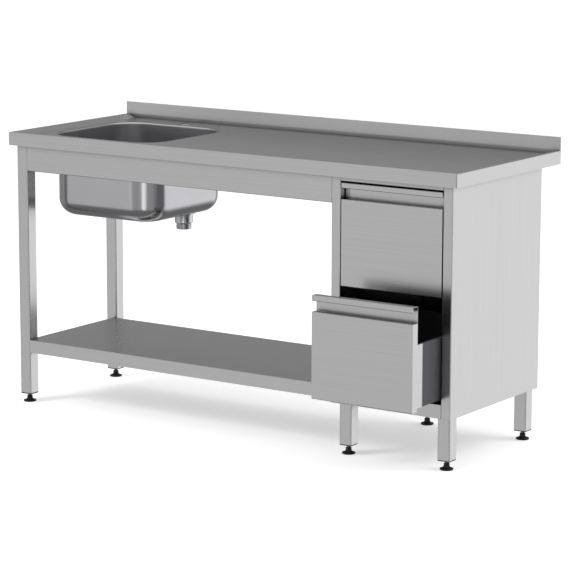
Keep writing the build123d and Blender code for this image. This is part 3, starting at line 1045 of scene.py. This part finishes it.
# ------------------------------------------------------------------ drawers and runners
@dataclass
class PanHeadScrew(Assembly):
    """A pan-head screw with a six-sided socket, seen from inside the drawer."""

    name: str
    seat: Vector
    body: str
    head_radius: float = 4.0 * MM
    head_height: float = 2.2 * MM
    socket_radius: float = 1.6 * MM
    socket_depth: float = 1.2 * MM
    shank_radius: float = 1.95 * MM
    shank_length: float = 6.0 * MM
    crown_share: float = 0.62
    edge_share: float = 0.45
    facets: int = 24
    socket_sides: int = 6

    def build(self) -> None:
        """Makes the screw upright and lays it along Y, its head to the back."""
        mesh = bmesh.new()
        rim = self.ring(mesh, self.head_radius * self.crown_share, self.head_height, self.facets)
        edge = self.ring(mesh, self.head_radius, self.head_height * self.edge_share, self.facets)
        base = self.ring(mesh, self.head_radius, 0.0, self.facets)
        neck = self.ring(mesh, self.shank_radius, 0.0, self.facets)
        tip = self.ring(mesh, self.shank_radius, -self.shank_length, self.facets)
        mouth = self.ring(mesh, self.socket_radius, self.head_height, self.socket_sides)
        floor_height = self.head_height - self.socket_depth
        floor = self.ring(mesh, self.socket_radius, floor_height, self.socket_sides)
        outside = ((rim, edge), (edge, base), (base, neck), (neck, tip))
        socket = ((rim, mouth), (mouth, floor))
        for first, second in outside + socket:
            bmesh.ops.bridge_loops(mesh, edges=first + second)
        bmesh.ops.holes_fill(mesh, edges=tip + floor, sides=0)
        bmesh.ops.recalc_face_normals(mesh, faces=mesh.faces[:])
        turn = Matrix.Translation(self.seat) @ Matrix.Rotation(math.radians(-90), 4, "X")
        bmesh.ops.transform(mesh, matrix=turn, verts=mesh.verts[:])
        as_piece(self.name, mesh, self.finishes.zinc, self.body)

    def ring(
        self, mesh: bmesh.types.BMesh, radius: float, height: float, sides: int
    ) -> list[bmesh.types.BMEdge]:
        """Adds a level ring of edges.

        Args:
            mesh: Mesh that takes the ring.
            radius: Radius of the ring.
            height: Its height.
            sides: How many edges it has.

        Returns:
            Its edges.
        """
        made = bmesh.ops.create_circle(
            mesh, segments=sides, radius=radius, matrix=Matrix.Translation((0, 0, height))
        )
        return list({edge for vert in made["verts"] for edge in vert.link_edges})


@dataclass
class Drawer(Assembly):
    """One drawer: its folded front, its box and the screws between them."""

    level: str
    head: float = 4.0 * MM
    head_height: float = 2.2 * MM

    def build(self) -> None:
        """Dresses the drawer and makes its screws."""
        dress(f"{self.level}_drawer_front", self.finishes.satin[Grain.ALONG_X])
        dress(f"{self.level}_drawer_box", self.finishes.graphite)
        self.screws()

    def screws(self) -> None:
        """Puts a screw in each corner of the box's front wall."""
        node = f"{self.level}_front_screws"
        low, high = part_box(node)
        seat_y = high.y - self.head_height
        number = 0
        for x in (low.x + self.head, high.x - self.head):
            for z in (low.z + self.head, high.z - self.head):
                number += 1
                name = f"{self.level}_front_screw_{number}"
                PanHeadScrew(self.finishes, name, Vector((x, seat_y, z)), f"{self.level}_drawer").build()
                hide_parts(node)


@dataclass
class Runners(Assembly):
    """The telescopic runners of one drawer."""

    level: str

    def build(self) -> None:
        """Dresses the brackets and members."""
        for side in SIDES:
            dress(f"{self.level}_{side}_runner_bracket", self.finishes.satin[Grain.ALONG_Y])
            for member in ("cabinet_runner", "middle_runner", "drawer_runner"):
                dress(f"{self.level}_{side}_{member}", self.finishes.zinc)


# ------------------------------------------------------------------ feet
@dataclass
class AdjustableFoot(Assembly):
    """A screw foot: flared pad, threaded stem and the plug in the leg's end."""

    place: str
    pad_radius: float = 19.5 * MM
    pad_edge: float = 4.0 * MM
    neck_radius: float = 8.5 * MM
    waist: float = 11.0 * MM
    stem_radius: float = 4.95 * MM
    thread_depth: float = 0.75 * MM
    pitch: float = 1.5 * MM
    bore: float = 5.0 * MM
    flange: float = 3.0 * MM
    leg: float = 40 * MM
    leg_corner: float = 4 * MM
    leg_wall: float = 1.5 * MM
    plug: float = 22 * MM
    plug_edge: float = 0.7 * MM
    pad_facets: int = 56
    stem_facets: int = 20
    bore_facets: int = 28

    def build(self) -> None:
        """Makes the pad, the stem and the plug."""
        low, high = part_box(f"foot_{self.place}")
        axis = Vector(((low.x + high.x) / 2, (low.y + high.y) / 2, low.z))
        self.pad(axis, high.z - low.z)
        self.stem(axis)
        self.insert(axis)

    def pad(self, axis: Vector, height: float) -> None:
        """Turns the pad with a worn lower edge, a flare and a ribbed neck.

        Args:
            axis: Point on the foot's axis on the floor.
            height: Height of the pad with its neck.
        """
        neck, waist, edge = self.neck_radius, self.waist, self.pad_edge
        profile = [
            (0.0, 0.6 * MM),
            (self.pad_radius * 0.78, 0.6 * MM),
            (self.pad_radius * 0.82, 0.0),
            (self.pad_radius - 1.0 * MM, 0.0),
            (self.pad_radius, 1.0 * MM),
            (self.pad_radius, edge),
            (self.pad_radius - 1.2 * MM, edge + 0.7 * MM),
            (self.pad_radius * 0.78, edge + 1.5 * MM),
            (self.pad_radius * 0.60, edge + 2.9 * MM),
            (neck * 1.12, waist - 1.8 * MM),
            (neck, waist),
            (neck, height - 5.2 * MM),
            (neck - 0.5 * MM, height - 4.7 * MM),
            (neck, height - 4.2 * MM),
            (neck, height - 0.8 * MM),
            (neck - 0.8 * MM, height),
            (self.stem_radius, height),
            (self.stem_radius, height / 2),
            (0.0, height / 2),
        ]
        mesh = turned(profile, axis, self.pad_facets)
        body = f"foot_{self.place}_unit"
        piece = as_piece(f"foot_pad_{self.place}", mesh, self.finishes.polyamide, body)
        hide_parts(f"foot_{self.place}")

    def stem(self, axis: Vector) -> None:
        """Cuts the stem's thread by winding its outline up the axis.

        Args:
            axis: Point on the foot's axis on the floor.
        """
        low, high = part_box(f"stem_{self.place}")
        turns = int((high.z - low.z) / self.pitch) - 1
        root = self.stem_radius - self.thread_depth
        mesh = bmesh.new()
        profile = [(0.0, low.z)]
        for turn in range(turns):
            foot = low.z + turn * self.pitch
            profile += [(root, foot), (self.stem_radius, foot + self.pitch / 2)]
        profile += [(root, low.z + turns * self.pitch), (0.0, low.z + turns * self.pitch)]
        line = [mesh.verts.new((axis.x + radius, axis.y, z)) for radius, z in profile]
        edges = [mesh.edges.new(pair) for pair in zip(line, line[1:])]
        bmesh.ops.spin(
            mesh,
            geom=line + edges,
            cent=axis,
            axis=(0, 0, 1),
            dvec=(0, 0, self.pitch / self.stem_facets),
            angle=math.tau,
            steps=self.stem_facets,
        )
        bmesh.ops.remove_doubles(mesh, verts=mesh.verts[:], dist=0.005 * MM)
        bmesh.ops.holes_fill(mesh, edges=[edge for edge in mesh.edges if edge.is_boundary], sides=0)
        bmesh.ops.recalc_face_normals(mesh, faces=mesh.faces[:])
        body = f"foot_{self.place}_unit"
        piece = as_piece(f"foot_stem_{self.place}", mesh, self.finishes.zinc, body)
        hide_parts(f"stem_{self.place}")

    def insert(self, axis: Vector) -> None:
        """Makes the plug: a flange under the tube, a body inside it and the bore for the stem.

        Args:
            axis: Point on the foot's axis on the floor.
        """
        leg_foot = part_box(f"leg_{self.place}")[0].z
        half, inner = self.leg / 2, self.leg / 2 - self.leg_wall
        mesh = slab(
            Vector((axis.x - half, axis.y - half, leg_foot - self.flange)),
            Vector((axis.x + half, axis.y + half, leg_foot)),
        )
        soften(mesh, upright_edges(mesh), self.leg_corner, 5)
        roof = max(mesh.faces, key=lambda face: face.calc_center_median().z)
        bmesh.ops.inset_region(mesh, faces=[roof], thickness=half - inner, use_even_offset=True)
        self.raise_face(mesh, roof, self.plug)
        self.bored(mesh, axis)
        under = leg_foot - self.flange + 0.001 * MM
        lower = [edge for edge in sharp_edges(mesh) if max(vert.co.z for vert in edge.verts) < under]
        outer = [
            edge for edge in lower
            if min((vert.co - axis).to_2d().length for vert in edge.verts) > self.bore * 2
        ]
        soften(mesh, outer, self.plug_edge)
        piece = as_piece(f"leg_plug_{self.place}", mesh, self.finishes.polyamide, TABLE)
        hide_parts("leg_inserts")

    def raise_face(self, mesh: bmesh.types.BMesh, face: bmesh.types.BMFace, height: float) -> None:
        """Pulls a face straight up out of its mesh.

        Args:
            mesh: Mesh to change.
            face: Face to pull.
            height: How far it goes.
        """
        pulled = bmesh.ops.extrude_face_region(mesh, geom=[face])["geom"]
        bmesh.ops.translate(
            mesh, vec=(0, 0, height), verts=[part for part in pulled if isinstance(part, bmesh.types.BMVert)]
        )
        bmesh.ops.delete(mesh, geom=[face], context="FACES_ONLY")

    def bored(self, mesh: bmesh.types.BMesh, axis: Vector) -> None:
        """Opens the bore through the plug's lowest and highest faces.

        Args:
            mesh: Mesh of the plug.
            axis: Point on the bore's axis.
        """
        roof = max(mesh.faces, key=lambda face: face.calc_center_median().z)
        base = min(mesh.faces, key=lambda face: face.calc_center_median().z)
        rims = []
        for face in (roof, base):
            height = face.calc_center_median().z
            outline = face.edges[:]
            place = Matrix.Translation((axis.x, axis.y, height))
            made = bmesh.ops.create_circle(
                mesh, segments=self.bore_facets, radius=self.bore, matrix=place
            )
            rim = list({edge for vert in made["verts"] for edge in vert.link_edges})
            bmesh.ops.delete(mesh, geom=[face], context="FACES_ONLY")
            bmesh.ops.bridge_loops(mesh, edges=outline + rim)
            rims += rim
        bmesh.ops.bridge_loops(mesh, edges=rims)
        bmesh.ops.recalc_face_normals(mesh, faces=mesh.faces[:])


# ------------------------------------------------------------------ studio
@dataclass(frozen=True)
class Surround:
    """What the metal mirrors: the lighter and darker walls of a studio, by compass direction and height.

    Directions are degrees from the table's front, positive to its right. Levels are against white paper. Each
    edge gives the two heights, in degrees above the horizon, between which one level passes into the next.
    """

    below: tuple[tuple[float, float], ...] = (
        (-180, 0.4),
        (-128, 0.4),
        (-112, 0.3),
        (-84, 0.34),
        (-62, 0.5),
        (-50, 0.64),
        (-38, 0.66),
        (-29, 0.8),
        (-19, 0.46),
        (6, 0.42),
        (17, 0.55),
        (24, 1.5),
        (34, 1.2),
        (41, 0.42),
        (62, 0.4),
        (84, 0.24),
        (108, 0.3),
        (128, 1.04),
        (168, 1.04),
        (180, 0.4),
    )
    above: tuple[tuple[float, float], ...] = (
        (-180, 0.26), (-120, 0.26), (-80, 0.3), (-40, 0.34), (10, 0.3), (60, 0.3), (110, 0.3), (180, 0.24)
    )
    ground: float = 0.2
    ceiling: float = 1.12
    floor_edge: tuple[float, float] = (-36, -17)
    wall_edge: tuple[float, float] = (5, 10)
    ceiling_edge: tuple[float, float] = (30, 55)
    brightest: float = 1.6

    def level(self, tree: bpy.types.NodeTree) -> bpy.types.NodeSocket:
        """Builds the level for each direction.

        Args:
            tree: Node tree of the world.

        Returns:
            The level as a socket.
        """
        ray = add_node(tree, "ShaderNodeTexCoord").outputs["Generated"]
        axes = add_node(tree, "ShaderNodeSeparateXYZ", links={"Vector": ray})
        ahead = add_node(tree, "ShaderNodeMath", {"operation": "MULTIPLY", 1: -1.0}, {0: axes.outputs[1]})
        compass = add_node(tree, "ShaderNodeMath", {"operation": "ARCTAN2"}, {0: axes, 1: ahead})
        share = add_node(
            tree, "ShaderNodeMapRange", {"From Min": -math.pi, "From Max": math.pi}, {"Value": compass}
        )
        low = self.wall(tree, self.below, share.outputs[0])
        high = self.wall(tree, self.above, share.outputs[0])
        ground = add_node(tree, "ShaderNodeValue")
        ground.outputs[0].default_value = self.ground
        ceiling = add_node(tree, "ShaderNodeValue")
        ceiling.outputs[0].default_value = self.ceiling
        floor = self.blend(tree, axes.outputs[2], self.floor_edge, ground.outputs[0], low)
        walls = self.blend(tree, axes.outputs[2], self.wall_edge, floor, high)
        return self.blend(tree, axes.outputs[2], self.ceiling_edge, walls, ceiling.outputs[0])

    def wall(
        self, tree: bpy.types.NodeTree, levels: tuple[tuple[float, float], ...], share: bpy.types.NodeSocket
    ) -> bpy.types.NodeSocket:
        """Turns a list of directions and levels into a ramp.

        Args:
            tree: Node tree of the world.
            levels: Directions in degrees, with their levels.
            share: Direction as a share of the full turn.

        Returns:
            The level as a socket.
        """
        ramp = add_node(tree, "ShaderNodeValToRGB", links={"Fac": share})
        stops = ramp.color_ramp.elements
        for number, (direction, level) in enumerate(levels):
            place = (direction + 180) / 360
            stop = stops[number] if number < 2 else stops.new(place)
            stop.position = place
            grey = level / self.brightest
            stop.color = (grey, grey, grey, 1)
        raised = add_node(
            tree, "ShaderNodeMath", {"operation": "MULTIPLY", 1: self.brightest}, {0: ramp.outputs["Color"]}
        )
        return raised.outputs[0]

    def blend(
        self,
        tree: bpy.types.NodeTree,
        rise: bpy.types.NodeSocket,
        heights: tuple[float, float],
        lower: bpy.types.NodeSocket,
        upper: bpy.types.NodeSocket,
    ) -> bpy.types.NodeSocket:
        """Passes from one level to another between two heights above the horizon.

        Args:
            tree: Node tree of the world.
            rise: Sine of the ray's height.
            heights: The two heights in degrees.
            lower: Level below the first height.
            upper: Level above the second.

        Returns:
            The level as a socket.
        """
        first, last = (math.sin(math.radians(height)) for height in heights)
        share = add_node(
            tree,
            "ShaderNodeMapRange",
            {"interpolation_type": "SMOOTHSTEP", "From Min": first, "From Max": last},
            {"Value": rise},
        )
        mixed = add_node(tree, "ShaderNodeMix", links={0: share, 2: lower, 3: upper})
        return mixed.outputs[0]


@dataclass
class Studio:
    """Pale floor, sky, soft lamps and the camera. A lamp is its place, side in metres and watts."""

    camera_place: tuple[float, float, float] = (4.4505, -6.5236, 1.8736)
    camera_turn: float = 0.5947
    camera_dip: float = 0.1844
    camera_roll: float = 0.0025
    lens_mm: float = 165.3
    floor_size: float = 60.0
    sky: float = 0.62
    floor_glow: float = 0.46
    aim_height: float = 0.5
    key: tuple[tuple[float, float, float], float, float] = ((-2.4, -3.4, 3.4), 1.6, 90.0)
    fill: tuple[tuple[float, float, float], float, float] = ((3.4, 1.6, 3.6), 2.2, 60.0)

    def build(self) -> None:
        """Builds the whole studio."""
        self.floor()
        self.world()
        self.lamp("key_softbox", *self.key)
        self.lamp("fill_softbox", *self.fill)
        self.camera()

    def floor(self) -> None:
        """Lays a white floor that takes the table's soft shadow and that mirrors look past."""
        mesh = bmesh.new()
        bmesh.ops.create_grid(mesh, x_segments=4, y_segments=4, size=self.floor_size / 2)
        data = bpy.data.meshes.new("studio_floor")
        mesh.to_mesh(data)
        mesh.free()
        material = empty_material("matt_white_floor_paper")
        tree = material.node_tree
        path = add_node(tree, "ShaderNodeLightPath")
        diffuse = add_node(tree, "ShaderNodeBsdfDiffuse", {"Color": linear("#F6F6F6")})
        lift = add_node(
            tree,
            "ShaderNodeMath",
            {"operation": "MULTIPLY", 1: self.floor_glow},
            {0: path.outputs["Is Camera Ray"]},
        )
        glow = add_node(tree, "ShaderNodeEmission", {"Color": (1, 1, 1, 1)}, {"Strength": lift})
        paper = add_node(tree, "ShaderNodeAddShader", links={0: diffuse, 1: glow})
        clear = add_node(tree, "ShaderNodeBsdfTransparent")
        passed = add_node(
            tree,
            "ShaderNodeMath",
            {"operation": "MAXIMUM"},
            {0: path.outputs["Is Glossy Ray"], 1: path.outputs["Is Transmission Ray"]},
        )
        both = add_node(tree, "ShaderNodeMixShader", links={0: passed, 1: paper, 2: clear})
        add_node(tree, "ShaderNodeOutputMaterial", links={"Surface": both})
        data.materials.append(material)
        floor = bpy.data.objects.new("studio_floor", data)
        bpy.context.scene.collection.objects.link(floor)

    def world(self) -> None:
        """Makes a sky that is white to look at, lights at a plain level and gives metal its surround."""
        world = bpy.data.worlds.new("studio_sky")
        world.use_nodes = True
        tree = world.node_tree
        tree.nodes.clear()
        path = add_node(tree, "ShaderNodeLightPath")
        seen = add_node(
            tree,
            "ShaderNodeMapRange",
            {"To Min": self.sky, "To Max": 1.0},
            {"Value": path.outputs["Is Camera Ray"]},
        )
        mirrored = add_node(
            tree,
            "ShaderNodeMath",
            {"operation": "MAXIMUM"},
            {0: path.outputs["Is Glossy Ray"], 1: path.outputs["Is Transmission Ray"]},
        )
        level = add_node(tree, "ShaderNodeMix", links={0: mirrored, 2: seen, 3: Surround().level(tree)})
        sky = add_node(tree, "ShaderNodeBackground", {"Color": (1, 1, 1, 1)}, {"Strength": level})
        add_node(tree, "ShaderNodeOutputWorld", links={"Surface": sky})
        bpy.context.scene.world = world

    def lamp(self, name: str, place: tuple[float, float, float], size: float, watts: float) -> None:
        """Hangs a square soft lamp that points at the table.

        Args:
            name: Name of the lamp.
            place: Where it hangs.
            size: Its side.
            watts: Its power.
        """
        data = bpy.data.lights.new(name, "AREA")
        data.shape = "SQUARE"
        data.size = size
        data.energy = watts
        lamp = bpy.data.objects.new(name, data)
        lamp.location = place
        sight = Vector((0, 0, self.aim_height)) - Vector(place)
        lamp.rotation_euler = sight.to_track_quat("-Z", "Y").to_euler()
        lamp.visible_glossy = False
        bpy.context.scene.collection.objects.link(lamp)

    def camera(self) -> None:
        """Sets the camera at its viewing angle."""
        data = bpy.data.cameras.new("catalogue_camera")
        data.lens = self.lens_mm
        data.sensor_width = 36.0
        data.clip_end = 100.0
        camera = bpy.data.objects.new("catalogue_camera", data)
        turn = Matrix.Rotation(self.camera_turn, 4, "Z")
        dip = Matrix.Rotation(math.pi / 2 - self.camera_dip, 4, "X")
        roll = Matrix.Rotation(self.camera_roll, 4, "Z")
        camera.matrix_world = Matrix.Translation(self.camera_place) @ turn @ dip @ roll
        bpy.context.scene.collection.objects.link(camera)
        bpy.context.scene.camera = camera
        bpy.context.scene.view_settings.view_transform = "Standard"


# ------------------------------------------------------------------ everything
def main() -> None:
    """Builds the table's looks and its studio."""
    logging.basicConfig(level=logging.INFO, format="%(message)s")
    finishes = Finishes()
    for assembly in (Worktop, Bowl, Frame, Shelf, Cabinet):
        assembly(finishes).build()
    for level in LEVELS:
        Drawer(finishes, level).build()
        Runners(finishes, level).build()
    for place in PLACES:
        AdjustableFoot(finishes, place).build()
    Studio().build()


if __name__ == "__main__":
    main()
